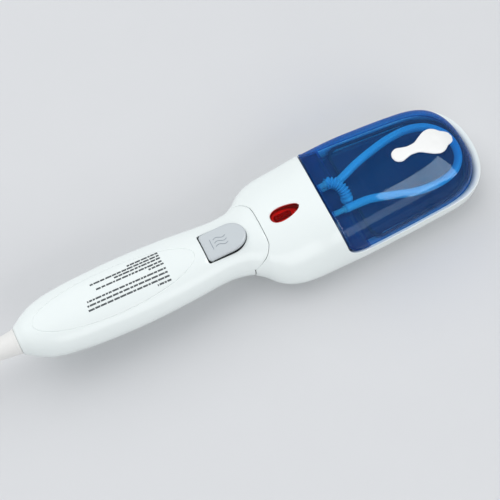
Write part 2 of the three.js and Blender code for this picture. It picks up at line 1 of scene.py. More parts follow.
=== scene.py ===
"""Garment steamer: shells, tank, cap, button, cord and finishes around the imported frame.

Forms are worked out in millimetres, in the frame's own axes, and turned into metres
when a mesh is made.
"""

import math
import random

import bmesh
import bpy
import numpy as np
from mathutils import Matrix, Vector


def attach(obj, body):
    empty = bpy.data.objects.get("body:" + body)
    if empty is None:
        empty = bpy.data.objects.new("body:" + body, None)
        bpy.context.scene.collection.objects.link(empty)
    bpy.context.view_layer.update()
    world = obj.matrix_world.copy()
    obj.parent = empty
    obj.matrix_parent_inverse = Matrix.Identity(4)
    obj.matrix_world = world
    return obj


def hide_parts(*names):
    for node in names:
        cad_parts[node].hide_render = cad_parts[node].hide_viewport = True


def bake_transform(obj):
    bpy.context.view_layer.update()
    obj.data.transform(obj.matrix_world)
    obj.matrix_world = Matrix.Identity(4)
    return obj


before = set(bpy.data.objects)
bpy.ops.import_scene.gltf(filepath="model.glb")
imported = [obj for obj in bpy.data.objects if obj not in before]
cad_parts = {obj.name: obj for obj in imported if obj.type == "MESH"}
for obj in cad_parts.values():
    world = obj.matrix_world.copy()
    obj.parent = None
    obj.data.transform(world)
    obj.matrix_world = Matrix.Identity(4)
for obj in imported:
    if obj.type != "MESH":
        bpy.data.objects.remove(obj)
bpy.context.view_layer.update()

MM = 0.001

# ---------------------------------------------------------------- sizes, in millimetres

END = 167.0
WALL = 2.2                       # thickness of the white shells and of the tank
GAP = 0.3                        # clearance between pieces that touch
PARTING = 31.0                   # height of the split between the handle halves
SOLE_TOP = 8.0
RIM_TOP = 24.5                   # top of the white rim that carries the tank
TANK_END = 161.4
CORD_AXIS = 33.0                 # height at which the cord leaves the handle
RELIEF_END = -215.9              # thin end of the strain relief
RIM_WIDTH = 6.6                  # white ledge that the tank stands on
EDGE = 0.45                      # rounding of the shells' edges
PITCH = 1.5                      # cell size of the body's skin
FAR = 50                         # a distance that puts a point far from any line

BUTTON = {"rear": -36.4, "front": -6.6, "half": 10, "bottom": 38.2, "rear_top": 46.9, "front_top": 49.2}
LABEL = {"x": -99.1, "along": 56.0, "across": 15.55}
FILLER = (134.0, 0.0)
HANDLE_SCREWS = [-132, -84, -48]
SOLE_SCREWS = [(34, 20), (34, -20), (152.5, 13), (152.5, -13)]

CORD_RADIUS = 3.25
COIL = {"x": -333.0, "inner": 22.6, "outer": 49.0, "height": 13.4}
CORD_ROUTE = [
    (-216.2, 0, 33), (-224, 0, 32.6), (-234, 0, 30), (-245, 0.5, 24), (-255, 2.5, 16.5), (-264, 6, 10.2),
    (-272, 10, 6.2), (-279, 15, 4), (-285, 22, 3.4), (-289.6, 29.5, 3.4),
]
TAIL_ROUTE = [
    (-327, -53, 3.4), (-319, -54.5, 3.4), (-311, -56.8, 4), (-304, -58.4, 6.4), (-299, -59, 7.6),
    (-294.5, -59, 7.6),
]
PLUG = {"rear": -294, "front": -262, "y": -59, "z": 7.6}

BELLOWS_ROUTE = [
    (57.8, 8.6, 39.5), (60, 8.5, 39.5), (64, 6, 38.8), (66.6, 1.4, 37), (67.2, -2.8, 34.6),
    (67.2, -4, 32.8), (67.2, -4, 31.3),
]
WATER_ROUTE = [
    (64.8, 9.5, 31), (67, 9.6, 31), (74, 12, 31.5), (84, 15.6, 32.5), (97, 19, 33.5), (112, 22, 34),
    (127, 22.6, 34), (140, 19, 33.5), (149, 10, 33), (151.5, 0, 33), (149.5, -10, 33), (142, -18, 33),
    (129, -21.4, 33), (112, -20.4, 33), (97, -16, 33), (82, -11.6, 32.6), (72, -10.5, 32),
    (63.4, -10.5, 32),
]
SMALL_HOSES = [
    ("suction_hose", 1.9, [(24.4, 8, 30), (27, 8, 30), (34, 9, 31), (41, 9.5, 31), (43.6, 9.5, 31)]),
    ("pump_hose", 1.5, [(0.3, 3.4, 22), (2.5, 3.4, 22), (7, 5.5, 26.5), (11, 8, 30), (13.6, 8, 30)]),
    ("outlet_hose", 1.4, [(0.3, -3.4, 22), (2, -3.4, 22), (6, -8.8, 22), (8, -9, 22), (9.7, -9, 22)]),
    ("feed_hose", 1.5, [
        (20.3, -9, 22), (30, -9, 20), (36, -8.2, 11.4), (38.5, -8, 10.6), (41.7, -8, 10.6),
    ]),
]

# ---------------------------------------------------------------- camera

CAMERA = {"azimuth": -26.4, "elevation": 68.3, "roll": 0.2, "target": (-5.89, -6.21, 25), "distance": 783.5}


def aim_camera():
    data = bpy.data.cameras.new("camera")
    data.lens = 85
    data.sensor_width = 36
    data.clip_start = 0.05
    data.clip_end = 20
    camera = bpy.data.objects.new("camera", data)
    bpy.context.scene.collection.objects.link(camera)
    azimuth = math.radians(CAMERA["azimuth"])
    elevation = math.radians(CAMERA["elevation"])
    roll = math.radians(CAMERA["roll"])
    flat = math.cos(elevation)
    back = Vector((math.sin(azimuth) * flat, -math.cos(azimuth) * flat, math.sin(elevation)))
    level = Vector((math.cos(azimuth), math.sin(azimuth), 0))
    upright = back.cross(level)
    right = level * math.cos(roll) + upright * math.sin(roll)
    up = back.cross(right)
    place = (Vector(CAMERA["target"]) + back * CAMERA["distance"]) * MM
    rows = [(right[k], up[k], back[k], place[k]) for k in range(3)]
    camera.matrix_world = Matrix([*rows, (0, 0, 0, 1)])
    bpy.context.scene.camera = camera


aim_camera()

# ---------------------------------------------------------------- materials


def node(tree, kind, inputs=(), **settings):
    made = tree.nodes.new(kind)
    for key, value in settings.items():
        setattr(made, key, value)
    for key, value in dict(inputs).items():
        if isinstance(value, bpy.types.NodeSocket):
            tree.links.new(value, made.inputs[key])
        else:
            made.inputs[key].default_value = value
    return made


def blended(tree, factor, first, second):
    """A colour between two, by a factor."""
    mix = node(tree, "ShaderNodeMix", data_type="RGBA")
    tree.links.new(factor, mix.inputs["Factor"])
    for socket, value in ((mix.inputs["A"], first), (mix.inputs["B"], second)):
        if isinstance(value, bpy.types.NodeSocket):
            tree.links.new(value, socket)
        else:
            socket.default_value = (*value, 1)
    return mix.outputs["Result"]


def start_material(name):
    material = bpy.data.materials.new(name)
    material.use_nodes = True
    tree = material.node_tree
    shader = tree.nodes["Principled BSDF"]
    place = node(tree, "ShaderNodeTexCoord").outputs["Object"]
    return material, tree, shader, place


def finish_colour(name, colour, roughness, spread=0.04, tone=0.03, grain=1400, bump=0.03, metal=0.0,
                  stretch=(1, 1, 1)):
    """A moulded or machined finish: broad tone, fine grain in roughness and in relief."""
    material, tree, shader, place = start_material(name)
    scaled = node(tree, "ShaderNodeMapping", {"Vector": place, "Scale": stretch}).outputs["Vector"]
    broad = node(tree, "ShaderNodeTexNoise", {"Vector": place, "Scale": 22, "Detail": 3}).outputs["Fac"]
    fine = node(tree, "ShaderNodeTexNoise", {"Vector": scaled, "Scale": grain, "Detail": 4}).outputs["Fac"]
    darker = [c * (1 - tone) for c in colour]
    lighter = [min(1, c * (1 + tone)) for c in colour]
    tree.links.new(blended(tree, broad, darker, lighter), shader.inputs["Base Color"])
    rough = node(tree, "ShaderNodeMapRange", {
        "Value": fine, "To Min": max(0.02, roughness - spread), "To Max": roughness + spread,
    })
    tree.links.new(rough.outputs["Result"], shader.inputs["Roughness"])
    relief = node(tree, "ShaderNodeBump", {"Strength": bump, "Distance": 0.0002, "Height": fine})
    tree.links.new(relief.outputs["Normal"], shader.inputs["Normal"])
    shader.inputs["Metallic"].default_value = metal
    return material


def clear_plastic(name, body, face, edge, cover, index, roughness=0.04):
    """Dyed clear plastic: light passes with a tint that deepens where the wall is seen edge on."""
    material, tree, shader, place = start_material(name)
    shader.inputs["Base Color"].default_value = (*body, 1)
    shader.inputs["IOR"].default_value = index
    fine = node(tree, "ShaderNodeTexNoise", {"Vector": place, "Scale": 260, "Detail": 3}).outputs["Fac"]
    rough = node(tree, "ShaderNodeMapRange", {
        "Value": fine, "To Min": roughness * 0.6, "To Max": roughness * 1.5,
    })
    tree.links.new(rough.outputs["Result"], shader.inputs["Roughness"])
    slow = node(tree, "ShaderNodeTexNoise", {"Vector": place, "Scale": 30, "Detail": 2}).outputs["Fac"]
    relief = node(tree, "ShaderNodeBump", {"Strength": 0.05, "Distance": 0.0006, "Height": slow})
    tree.links.new(relief.outputs["Normal"], shader.inputs["Normal"])
    weight = node(tree, "ShaderNodeLayerWeight", {"Blend": 0.35})
    through = node(tree, "ShaderNodeBsdfTransparent")
    tree.links.new(blended(tree, weight.outputs["Facing"], face, edge), through.inputs["Color"])
    share = node(tree, "ShaderNodeMapRange", {
        "Value": weight.outputs["Facing"], "From Min": 0.4, "To Min": cover, "To Max": min(1, cover + 0.4),
    })
    mix = node(tree, "ShaderNodeMixShader", {0: share.outputs["Result"]})
    tree.links.new(through.outputs[0], mix.inputs[1])
    tree.links.new(shader.outputs[0], mix.inputs[2])
    tree.links.new(mix.outputs[0], tree.nodes["Material Output"].inputs["Surface"])
    return material


FINISH = {
    "white_shell": finish_colour("white_plastic", (0.83, 0.88, 0.865), 0.2, 0.03, 0.012, 1700, 0.015),
    "inner_plastic": finish_colour("natural_plastic", (0.72, 0.74, 0.74), 0.42, 0.06, 0.04),
    "button_grey": finish_colour("grey_plastic", (0.55, 0.59, 0.61), 0.36, 0.06, 0.02, 2200, 0.06),
    "tank_blue": clear_plastic("blue_clear_plastic", (0.014, 0.12, 0.42), (0.44, 0.83, 0.985),
                               (0.16, 0.48, 0.86), 0.13, 2.25),
    "tank_base_navy": finish_colour("navy_plastic", (0.006, 0.026, 0.075), 0.3, 0.08, 0.1, 1200, 0.05),
    "hose_vinyl": finish_colour("hose_vinyl", (0.62, 0.8, 0.93), 0.3, 0.07, 0.04, 900, 0.05),
    "silicone_white": finish_colour("white_silicone", (0.88, 0.88, 0.86), 0.46, 0.05, 0.012, 1600, 0.05),
    "lens_red": clear_plastic("red_clear_plastic", (0.75, 0.008, 0.01), (1.0, 0.3, 0.26),
                              (0.95, 0.12, 0.1), 0.06, 2.2),
    "dark_plastic": finish_colour("dark_plastic", (0.025, 0.027, 0.03), 0.48, 0.08, 0.12, 1500, 0.08),
    "seal_rubber": finish_colour("seal_rubber", (0.02, 0.02, 0.022), 0.7, 0.08, 0.2, 1300, 0.12),
    "cord_vinyl": finish_colour("cord_vinyl", (0.8, 0.79, 0.765), 0.4, 0.05, 0.015, 1300, 0.05),
    "steel": finish_colour("steel", (0.62, 0.63, 0.64), 0.28, 0.08, 0.06, 1800, 0.05, 1.0),
    "aluminium": finish_colour("brushed_aluminium", (0.77, 0.78, 0.79), 0.3, 0.09, 0.05, 700, 0.09, 1.0,
                               stretch=(0.05, 1, 1)),
    "brass": finish_colour("brass", (0.72, 0.55, 0.25), 0.26, 0.07, 0.06, 1700, 0.05, 1.0),
    "lamp_glass": finish_colour("lamp_glass", (0.1, 0.012, 0.012), 0.18, 0.05, 0.3, 900, 0.03),
}

# ---------------------------------------------------------------- the form


def curve(points):
    """A smooth curve through points, with no overshoot between them."""
    x, y = np.array(points, float).T
    step = np.diff(x)
    slope = np.diff(y) / step
    tangent = np.concatenate([slope[:1], np.zeros(len(x) - 2), slope[-1:]])
    for i in range(1, len(x) - 1):
        if slope[i - 1] * slope[i] > 0:
            before = 2 * step[i] + step[i - 1]
            after = step[i] + 2 * step[i - 1]
            tangent[i] = (before + after) / (before / slope[i - 1] + after / slope[i])

    def value(at):
        a = np.clip(at, x[0], x[-1])
        i = np.clip(np.searchsorted(x, a, side="right") - 1, 0, len(step) - 1)
        t = (a - x[i]) / step[i]
        keep = (1 + 2 * t) * (1 - t) ** 2
        rise = t * (1 - t) ** 2 * step[i] * tangent[i]
        fall = t * t * (t - 1) * step[i] * tangent[i + 1]
        return keep * y[i] + (1 - keep) * y[i + 1] + rise + fall

    return value


side_line = curve([
    (-167, 9.4), (-164, 11.4), (-159, 14.6), (-152, 18), (-141, 20.8), (-118, 23.3), (-90, 24.2),
    (-60, 23.2), (-25, 20.8), (-13, 22.3), (-5, 26.6), (2, 33), (10, 37.5), (20, 39.9),
    (34, 40.7), (60, 40.7), (95, 39.5), (125, 37.8), (167, 36.4),
])
crown_line = curve([
    (-167, 42.6), (-160, 46.4), (-148, 48.3), (-120, 48.4), (-70, 47.2), (-25, 45.8),
    (5, 45), (25, 47.2), (50, 52), (80, 55.5), (167, 55.5),
])
widest_line = curve([
    (-167, 33), (-140, 33), (-110, 31.5), (-35, 31), (-12, 27), (6, 20), (25, 18.5), (60, 19), (167, 19),
])
belly_line = curve([
    (-167, 23.6), (-160, 20), (-148, 16.5), (-125, 14.6), (-70, 14), (-25, 13.6), (-5, 10.5),
    (12, 4.5), (30, 0.4), (36, 0), (167, 0),
])
upper_fullness = curve([(-167, 2), (-140, 2.1), (-20, 2.1), (-2, 1.9), (30, 2), (52, 2.5), (167, 2.5)])
lower_fullness = curve([(-167, 2), (-140, 2.4), (0, 2.4), (30, 3), (167, 3)])
dome_fullness = curve([(45, 2.5), (60, 2.7), (85, 3), (162, 3)])


def round_off(x, start, end, power):
    return np.sqrt(1 - np.clip((x - start) / (end - start), 0, 1) ** power)


def even(points, count):
    """The same line in steps of equal length."""
    lengths = np.concatenate([[0], np.cumsum(np.linalg.norm(np.diff(points, axis=0), axis=1))])
    at = np.linspace(0, lengths[-1], count + 1)
    return np.stack([np.interp(at, lengths, points[:, k]) for k in range(points.shape[1])], axis=1)


def around(count):
    """Angles all the way round a circle."""
    return np.linspace(0, 2 * math.pi, count, endpoint=False)


QUARTER = np.linspace(0, 1, 161)
QUARTER = (3 * QUARTER ** 2 - 2 * QUARTER ** 3) * math.pi / 2
QUARTER_TURNS = [np.array([(c, -s), (s, c)]) for c, s in ((1, 0), (0, 1), (-1, 0), (0, -1))]


def quarter(half, rise, fullness, count):
    """From the side to the crown of one quarter of a section, as (across, up) pairs."""
    across = half * np.cos(QUARTER).clip(0) ** (2 / fullness)
    up = rise * np.sin(QUARTER).clip(0) ** (2 / fullness)
    return even(np.stack([across, up], axis=1), count)


def body_ring(x, margin, upper=44, lower=34):
    half = max(0.0, float(side_line(x) * round_off(x, 112, END, 4.6) + margin))
    middle = widest_line(x)
    above = quarter(half, crown_line(x) - middle + margin, upper_fullness(x), upper)
    below = quarter(half, middle - belly_line(x) + margin, lower_fullness(x), lower)
    down = above[::-1] * (-1, 1)
    ring = np.concatenate([above[:-1], down[:-1], below[:-1] * (-1, -1), (below[::-1] * (1, -1))[:-1]])
    return np.stack([np.full(len(ring), x), ring[:, 0], middle + ring[:, 1]], axis=1)


def dome_half(x, margin=0.0):
    return (side_line(x) - 0.8) * round_off(x, 106, TANK_END, 4.4) + margin


def dome_rise(x, margin=0.0):
    return (crown_line(x) - GAP - RIM_TOP) * round_off(x, 94, TANK_END, 3) + margin


def dome_ring(x, margin, count=56):
    half = max(0.0, float(dome_half(x, margin)))
    side = quarter(half, max(0.0, float(dome_rise(x, margin))), dome_fullness(x), count)
    ring = np.concatenate([side, (side[::-1] * (-1, 1))[1:]])
    return np.stack([np.full(len(ring), x), ring[:, 0], RIM_TOP + ring[:, 1]], axis=1)


def stations(start, end, half, pitch):
    """Places along the body, even along its plan outline and so closer at a round tip."""
    x = start + (end - start) * (1 - (1 - np.linspace(0, 1, 3000)) ** 2)
    line = np.stack([x, half(x)], axis=1)
    total = np.linalg.norm(np.diff(line, axis=0), axis=1).sum()
    return even(line, int(total / pitch))[:, 0]


# ---------------------------------------------------------------- skins


def skin(grid, wrap=False):
    """A surface through a grid of points, facing out where columns turn left to rows."""
    bm = bmesh.new()
    rows = [[bm.verts.new(point) for point in row] for row in grid]
    count = len(rows[0])
    for low, high in zip(rows, rows[1:]):
        for c in range(count if wrap else count - 1):
            d = (c + 1) % count
            bm.faces.new((low[c], low[d], high[d], high[c]))
    bmesh.ops.remove_doubles(bm, verts=bm.verts, dist=1e-4)
    bm.verts.index_update()
    return bm


def flat_grid(x0, x1, y0, y1, height, pitch, facing=1):
    """A level or bulging sheet over a plan rectangle. height is a function of x and y."""
    xs = np.linspace(x0, x1, int((x1 - x0) / pitch) + 1)
    ys = np.linspace(y1, y0, int((y1 - y0) / pitch) + 1)[::facing]
    return skin([[(x, y, height(x, y)) for y in ys] for x in xs])


def inside(outline, first=0, second=1):
    """Distance to a closed outline seen along one axis, below zero inside it."""
    a = np.array(outline, float)
    b = np.roll(a, -1, axis=0)

    def distance(points):
        p = points[:, [first, second]]
        nearest = np.full(len(p), np.inf)
        odd = np.zeros(len(p), bool)
        for s, e in zip(a, b):
            run = e - s
            t = np.clip(((p - s) @ run) / max(run @ run, 1e-12), 0, 1)
            nearest = np.minimum(nearest, np.linalg.norm(p - s - t[:, None] * run, axis=1))
            if s[1] != e[1]:
                crosses = (s[1] > p[:, 1]) != (e[1] > p[:, 1])
                at = s[0] + (p[:, 1] - s[1]) * run[0] / run[1]
                odd ^= crosses & (p[:, 0] < at)
        return np.where(odd, -nearest, nearest)

    return distance


def outside(distance):
    return lambda points: -distance(points)


def both(*distances):
    return lambda points: np.max([distance(points) for distance in distances], axis=0)


def moved(distance, by):
    """The same outline drawn in by some millimetres."""
    return lambda points: distance(points) + by


def hole_through(distance, low=-FAR, high=2 * FAR):
    """Removes what is inside a plan outline, but only between two heights."""
    return lambda points: np.where((points[:, 2] > low) & (points[:, 2] < high), -distance(points), -FAR)


def patch_above(height, distance):
    """Keeps what is inside a plan outline, but only above a height."""
    return lambda points: np.where(points[:, 2] > height, distance(points), FAR)


def above(height):
    return lambda points: height - points[:, 2]


def below(height):
    return lambda points: points[:, 2] - height


def slope_of(distance, points):
    """Direction in which a distance grows fastest at each point."""
    step = 1e-3
    return np.stack([distance(points + step * axis) - distance(points - step * axis) for axis in np.eye(3)],
                    axis=1) / (2 * step)


def snap(bm, distance):
    """Brings a line of vertices onto the zero line of a distance. Gives the distance at each vertex."""
    bm.normal_update()
    bm.verts.index_update()
    bm.verts.ensure_lookup_table()
    points = np.array([v.co for v in bm.verts])
    d = distance(points)
    crossing = [e for e in bm.edges if d[e.verts[0].index] * d[e.verts[1].index] < 0]
    if crossing:
        reach = 0.28 * float(np.mean([e.calc_length() for e in crossing]))
        close = [v for e in crossing for v in e.verts if abs(d[v.index]) < reach and not v.is_boundary]
        close = list(dict.fromkeys(close))
        if close:
            grads = slope_of(distance, np.array([v.co for v in close]))
            for v, grad in zip(close, grads):
                along = Vector(grad) - v.normal * Vector(grad).dot(v.normal)
                if along.length > 0.3:
                    v.co = v.co - along * (d[v.index] / along.length_squared)
                    d[v.index] = 0
    d[np.abs(d) < 1e-6] = 0
    crossing.sort(key=lambda e: not e.is_boundary)
    for edge in crossing:
        a, b = edge.verts
        da, db = d[a.index], d[b.index]
        if da * db >= 0:
            continue
        t = da / (da - db)
        place = a.co.lerp(b.co, t)
        near, far = (a, b) if t < 0.5 else (b, a)
        if near.is_boundary and not far.is_boundary and not edge.is_boundary:
            near = far
        near.co = place
        d[near.index] = 0
    for face in list(bm.faces):
        values = [d[v.index] for v in face.verts]
        if len(values) == 4 and min(values) < 0 < max(values):
            level = [v for v in face.verts if d[v.index] == 0]
            if len(level) == 2:
                bmesh.utils.face_split(face, level[0], level[1])
    side = {}
    for face in bm.faces:
        total = sum(d[v.index] for v in face.verts)
        side[face] = total if total else distance(np.array([face.calc_center_median()]))[0]
    return side


def trim(bm, distance):
    """Keeps the part of a surface where a distance is below zero, with a clean edge."""
    side = snap(bm, distance)
    bmesh.ops.delete(bm, geom=[face for face in bm.faces if side[face] > 0], context="FACES")
    bm.verts.index_update()
    return bm


def imprint(bm, distance):
    """Brings a line of edges onto the zero line of a distance, and gives those edges."""
    side = snap(bm, distance)
    return [
        e for e in bm.edges
        if len(e.link_faces) == 2 and (side[e.link_faces[0]] > 0) != (side[e.link_faces[1]] > 0)
    ]


def roll(bm, edges, profile):
    """Continues a surface past some of its border edges along a profile of (along, down) pairs.

    Gives each border vertex's last new vertex, and the border as pairs in face order."""
    pairs = []
    away = {}
    for edge in edges:
        loop = edge.link_loops[0]
        a, b = loop.vert, loop.link_loop_next.vert
        pairs.append((a, b))
        side = (b.co - a.co).normalized().cross(loop.face.normal)
        if side.dot(loop.face.calc_center_median() - a.co) > 0:
            side.negate()
        for v in (a, b):
            away[v] = away.get(v, Vector()) + side
    normal = {v: v.normal.copy() for v in away}
    for v in away:
        away[v] = (away[v] - normal[v] * away[v].dot(normal[v])).normalized()
    last = {v: v for v in away}
    for along, down in profile:
        new = {v: bm.verts.new(v.co + away[v] * along - normal[v] * down) for v in away}
        for a, b in pairs:
            bm.faces.new((last[b], last[a], new[a], new[b]))
        last = new
    return last, pairs


def rounded(radius, depth, steps=4, floor=()):
    """Profile of an edge that rounds over by a radius and then goes straight down."""
    angles = [math.pi / 2 * (k + 1) / steps for k in range(steps)]
    return [(radius * math.sin(a), radius * (1 - math.cos(a))) for a in angles] + [(radius, depth), *floor]


def shell(bm, wall, rims=((None, None),)):
    """Gives an open surface a wall and closes it, with a rolled edge along every border.

    rims is a list of (test, profile): the first test that a border edge's middle passes sets its profile."""
    bm.normal_update()
    outer = list(bm.faces)
    inner = {v: bm.verts.new(v.co - v.normal * wall) for v in list(bm.verts)}
    border = [e for e in bm.edges if e.is_boundary]
    for test, profile in rims:
        profile = profile or rounded(EDGE, wall)
        chosen = [e for e in border if test is None or test((e.verts[0].co + e.verts[1].co) / 2)]
        border = [e for e in border if e not in set(chosen)]
        last, pairs = roll(bm, chosen, profile)
        for a, b in pairs:
            bm.faces.new((last[b], last[a], inner[a], inner[b]))
    for face in outer:
        bm.faces.new([inner[v] for v in reversed(face.verts)])
    bm.normal_update()
    return bm


def spot(v):
    """Names a vertex by its place, so that its copies can be matched."""
    return tuple(round(c, 4) for c in v.co)


def make_room(bm, line, distance, width):
    """Moves the vertices close beside a marked line away from it, to leave room for a groove."""
    reach = 2.2 * width
    on_line = {v for e in line for v in e.verts}
    bm.verts.ensure_lookup_table()
    d = distance(np.array([v.co for v in bm.verts]))
    beside = [(v, gap) for v, gap in zip(bm.verts, d) if abs(gap) < reach and v not in on_line]
    grads = slope_of(distance, np.array([v.co for v, gap in beside]))
    for (v, gap), grad in zip(beside, grads):
        along = Vector(grad) - v.normal * Vector(grad).dot(v.normal)
        wanted = width + (1 - width / reach) * abs(gap)
        v.co = v.co + along * (math.copysign(wanted - abs(gap), gap) / along.length_squared)


def carve(bm, line, distance, width, depth):
    """A fine groove with round shoulders along marked edges of a closed shell."""
    bm.normal_update()
    middle = {spot(v): (v.co.copy(), v.normal.copy()) for e in line for v in e.verts}
    grads = slope_of(distance, np.array([place for place, normal in middle.values()]))
    aside = {}
    for name, grad in zip(middle, grads):
        normal = middle[name][1]
        aside[name] = (Vector(grad) - normal * Vector(grad).dot(normal)).normalized()
    bmesh.ops.split_edges(bm, edges=line)
    pairs = []
    back = {}
    for e in [e for e in bm.edges if e.is_boundary and all(spot(v) in middle for v in e.verts)]:
        loop = e.link_loops[0]
        a, b = loop.vert, loop.link_loop_next.vert
        pairs.append((a, b))
        inward = loop.face.normal.cross((b.co - a.co).normalized())
        for v in (a, b):
            back[v] = back.get(v, Vector()) + inward
    origin = {v: middle[spot(v)] for v in back}
    for v in back:
        across = aside[spot(v)]
        v.co = v.co + across * math.copysign(width / 2, across.dot(back[v]))
    last = {v: v for v in back}
    for angle in np.linspace(0, math.pi / 2, 5)[1:]:
        new = {}
        for v, (place, normal) in origin.items():
            across = (place - v.co) * math.sin(angle)
            new[v] = bm.verts.new(v.co + across - normal * depth * (1 - math.cos(angle)))
        for a, b in pairs:
            bm.faces.new((last[b], last[a], new[a], new[b]))
        last = new
    bmesh.ops.remove_doubles(bm, verts=list(last.values()), dist=1e-3)
    bm.normal_update()
    return bm


def sink(bm, line, distance, depth, radius):
    """Lowers the part of a closed shell inside a marked line, with a rounded shoulder round it."""
    bm.normal_update()
    marked = set(line)
    beside = {f for e in line for f in e.link_faces}
    seeds = [f for f in beside if distance(np.array([f.calc_center_median()]))[0] < 0]
    lowered = set()
    while seeds:
        face = seeds.pop()
        if face in lowered:
            continue
        lowered.add(face)
        for e in face.edges:
            if e not in marked:
                seeds.extend(f for f in e.link_faces if f not in lowered)
    normals = {spot(v): v.normal.copy() for f in lowered for v in f.verts}
    on_line = {spot(v) for e in line for v in e.verts}
    bmesh.ops.split_edges(bm, edges=line)
    rim = [e for e in bm.edges if e.is_boundary and all(spot(v) in on_line for v in e.verts)]
    upper = [e for e in rim if e.link_faces[0] not in lowered]
    start = {v: spot(v) for e in upper for v in e.verts}
    floor = {}
    for v in {v for f in lowered for v in f.verts}:
        place = spot(v)
        if v.is_boundary:
            floor[place] = v
        v.co = v.co - normals[place] * depth
    angles = np.linspace(0, math.pi / 2, 5)[1:]
    shoulder = [(radius * math.sin(a) - radius, radius * (1 - math.cos(a))) for a in angles]
    last, pairs = roll(bm, upper, shoulder)
    for a, b in pairs:
        low_a, low_b = floor.get(start[a]), floor.get(start[b])
        if low_a and low_b:
            bm.faces.new((last[b], last[a], low_a, low_b))
    bm.normal_update()
    return bm


def absorb(bm, other):
    """Adds another mesh to this one."""
    mesh = bpy.data.meshes.new("part")
    other.to_mesh(mesh)
    other.free()
    bm.from_mesh(mesh)
    bpy.data.meshes.remove(mesh)


def piece(name, bm, body, slot, *nodes, finish=None):
    """Turns a mesh in millimetres into a finished piece that stands for some nodes."""
    bmesh.ops.scale(bm, vec=(MM, MM, MM), verts=bm.verts)
    mesh = bpy.data.meshes.new(name)
    bm.to_mesh(mesh)
    bm.free()
    mesh.shade_smooth()
    made = bpy.data.objects.new(name, mesh)
    bpy.context.scene.collection.objects.link(made)
    mesh.materials.append(finish or FINISH[slot])
    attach(made, body)
    if nodes:
        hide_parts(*nodes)
    return made


# ---------------------------------------------------------------- outlines


def seam_region(shift):
    """Side view of everything ahead of the neck seam."""
    line = [(4.5, 80), (4.5, 43.6), (4, 42.4), (-9.8, PARTING), (-9.8, -10)]
    return [(200, -10), (200, 80)] + [(x + shift, z) for x, z in line]


def tank_front(inset=0.0, low=RIM_TOP):
    """Side view of the tank's front edge, from the crown down to the rim."""
    line = [(44.76 + inset, 60), (50.3 + inset, low + 13)]
    for i in range(1, 12):
        angle = i / 12 * math.pi / 2
        line.append((66 + inset - 15.6 * math.cos(angle), low + 13 * (1 - math.sin(angle))))
    return line + [(66 + inset, low)]


def tank_region(inset=0.0):
    return tank_front(inset, RIM_TOP + inset) + [(200, RIM_TOP + inset), (200, 60)]


def head_plan(inset, rear, tip, corner=6.0):
    x = stations(rear, tip, lambda at: side_line(at) * round_off(at, 112, END, 4.6), 3)
    squeeze = (END - rear) / (tip - rear)
    half = side_line(x) * round_off(rear + (x - rear) * squeeze, 112, END, 4.6) - inset
    side = [(a, b) for a, b in zip(x, half) if b > 0.5 and a > rear + corner]
    bend = [
        (rear + corner * (1 - math.sin(a)), side[0][1] - corner * (1 - math.cos(a)))
        for a in np.linspace(math.pi / 2, 0, 7)
    ]
    right = bend + side + [(tip, 0)]
    return right + [(a, -b) for a, b in right[-2::-1]]


def button_outline(margin):
    half = BUTTON["half"] + margin
    centre = BUTTON["front"] - BUTTON["half"] - 2.5
    rear = BUTTON["rear"] - margin
    arc = [
        (centre + (12.5 + margin) * math.cos(a), half * math.sin(a))
        for a in np.linspace(-math.pi / 2, math.pi / 2, 31)
    ]
    return [(rear, half - 0.8), (rear, 0.8 - half), (rear + 0.8, -half)] + arc + [(rear + 0.8, half)]


def lamp_outline(margin):
    front, rear, half = 32.4 + margin, 12.2 - margin, 4.9 + margin
    outline = []
    for a in around(64):
        along = (1 + math.cos(a)) / 2
        across = half * math.sin(a) * (1 - 0.32 * along) * 1.12
        outline.append((rear + (front - rear) * along ** 1.12, across))
    return outline


cap_width = curve([
    (101, 0), (101.5, 2.6), (103, 4.2), (105.8, 5.1), (109, 4.3), (114, 3.3), (119, 3.7), (125, 6.6),
    (130, 9), (134, 9.7), (138, 8.6), (141.5, 6), (144.5, 4.9), (147, 3.4), (148, 0),
])


def cap_outline(margin):
    middle = 124.5
    reach = 23.5
    along = middle - reach * np.cos(np.linspace(0, math.pi, 60))
    side = [(x + margin * (x - middle) / reach, float(cap_width(x)) + margin) for x in along[1:-1]]
    return side + [(x, -y) for x, y in side[::-1]]


def circle(x, y, radius):
    return lambda points: np.hypot(points[:, 0] - x, points[:, 1] - y) - radius


def label_oval(points):
    """Distance to the oval round the label on the handle's crown, below zero inside it."""
    across = LABEL["across"]
    u = (points[:, 0] - LABEL["x"]) / LABEL["along"]
    v = points[:, 1] / across
    reach = np.sqrt(u ** 2 + v ** 2)
    slope = np.sqrt((u / LABEL["along"]) ** 2 + (v / across) ** 2) / np.maximum(reach, 1e-9)
    return np.where(points[:, 2] > PARTING, (reach - 1) / np.maximum(slope, 1e-9), FAR)


# ---------------------------------------------------------------- cord, first of all


def smooth_line(points, pitch):
    """A centripetal curve through points, in even steps."""
    p = np.array(points, float)
    p = np.vstack([2 * p[0] - p[1], p, 2 * p[-1] - p[-2]])
    line = []
    for a, b, c, d in zip(p, p[1:], p[2:], p[3:]):
        for t in np.linspace(0, 1, 24, endpoint=False):
            line.append(0.5 * (2 * b + (c - a) * t + (2 * a - 5 * b + 4 * c - d) * t ** 2
                               + (3 * b - a - 3 * c + d) * t ** 3))
    line = np.array(line + [p[-2]])
    length = np.linalg.norm(np.diff(line, axis=0), axis=1).sum()
    return even(line, max(2, int(length / pitch)))


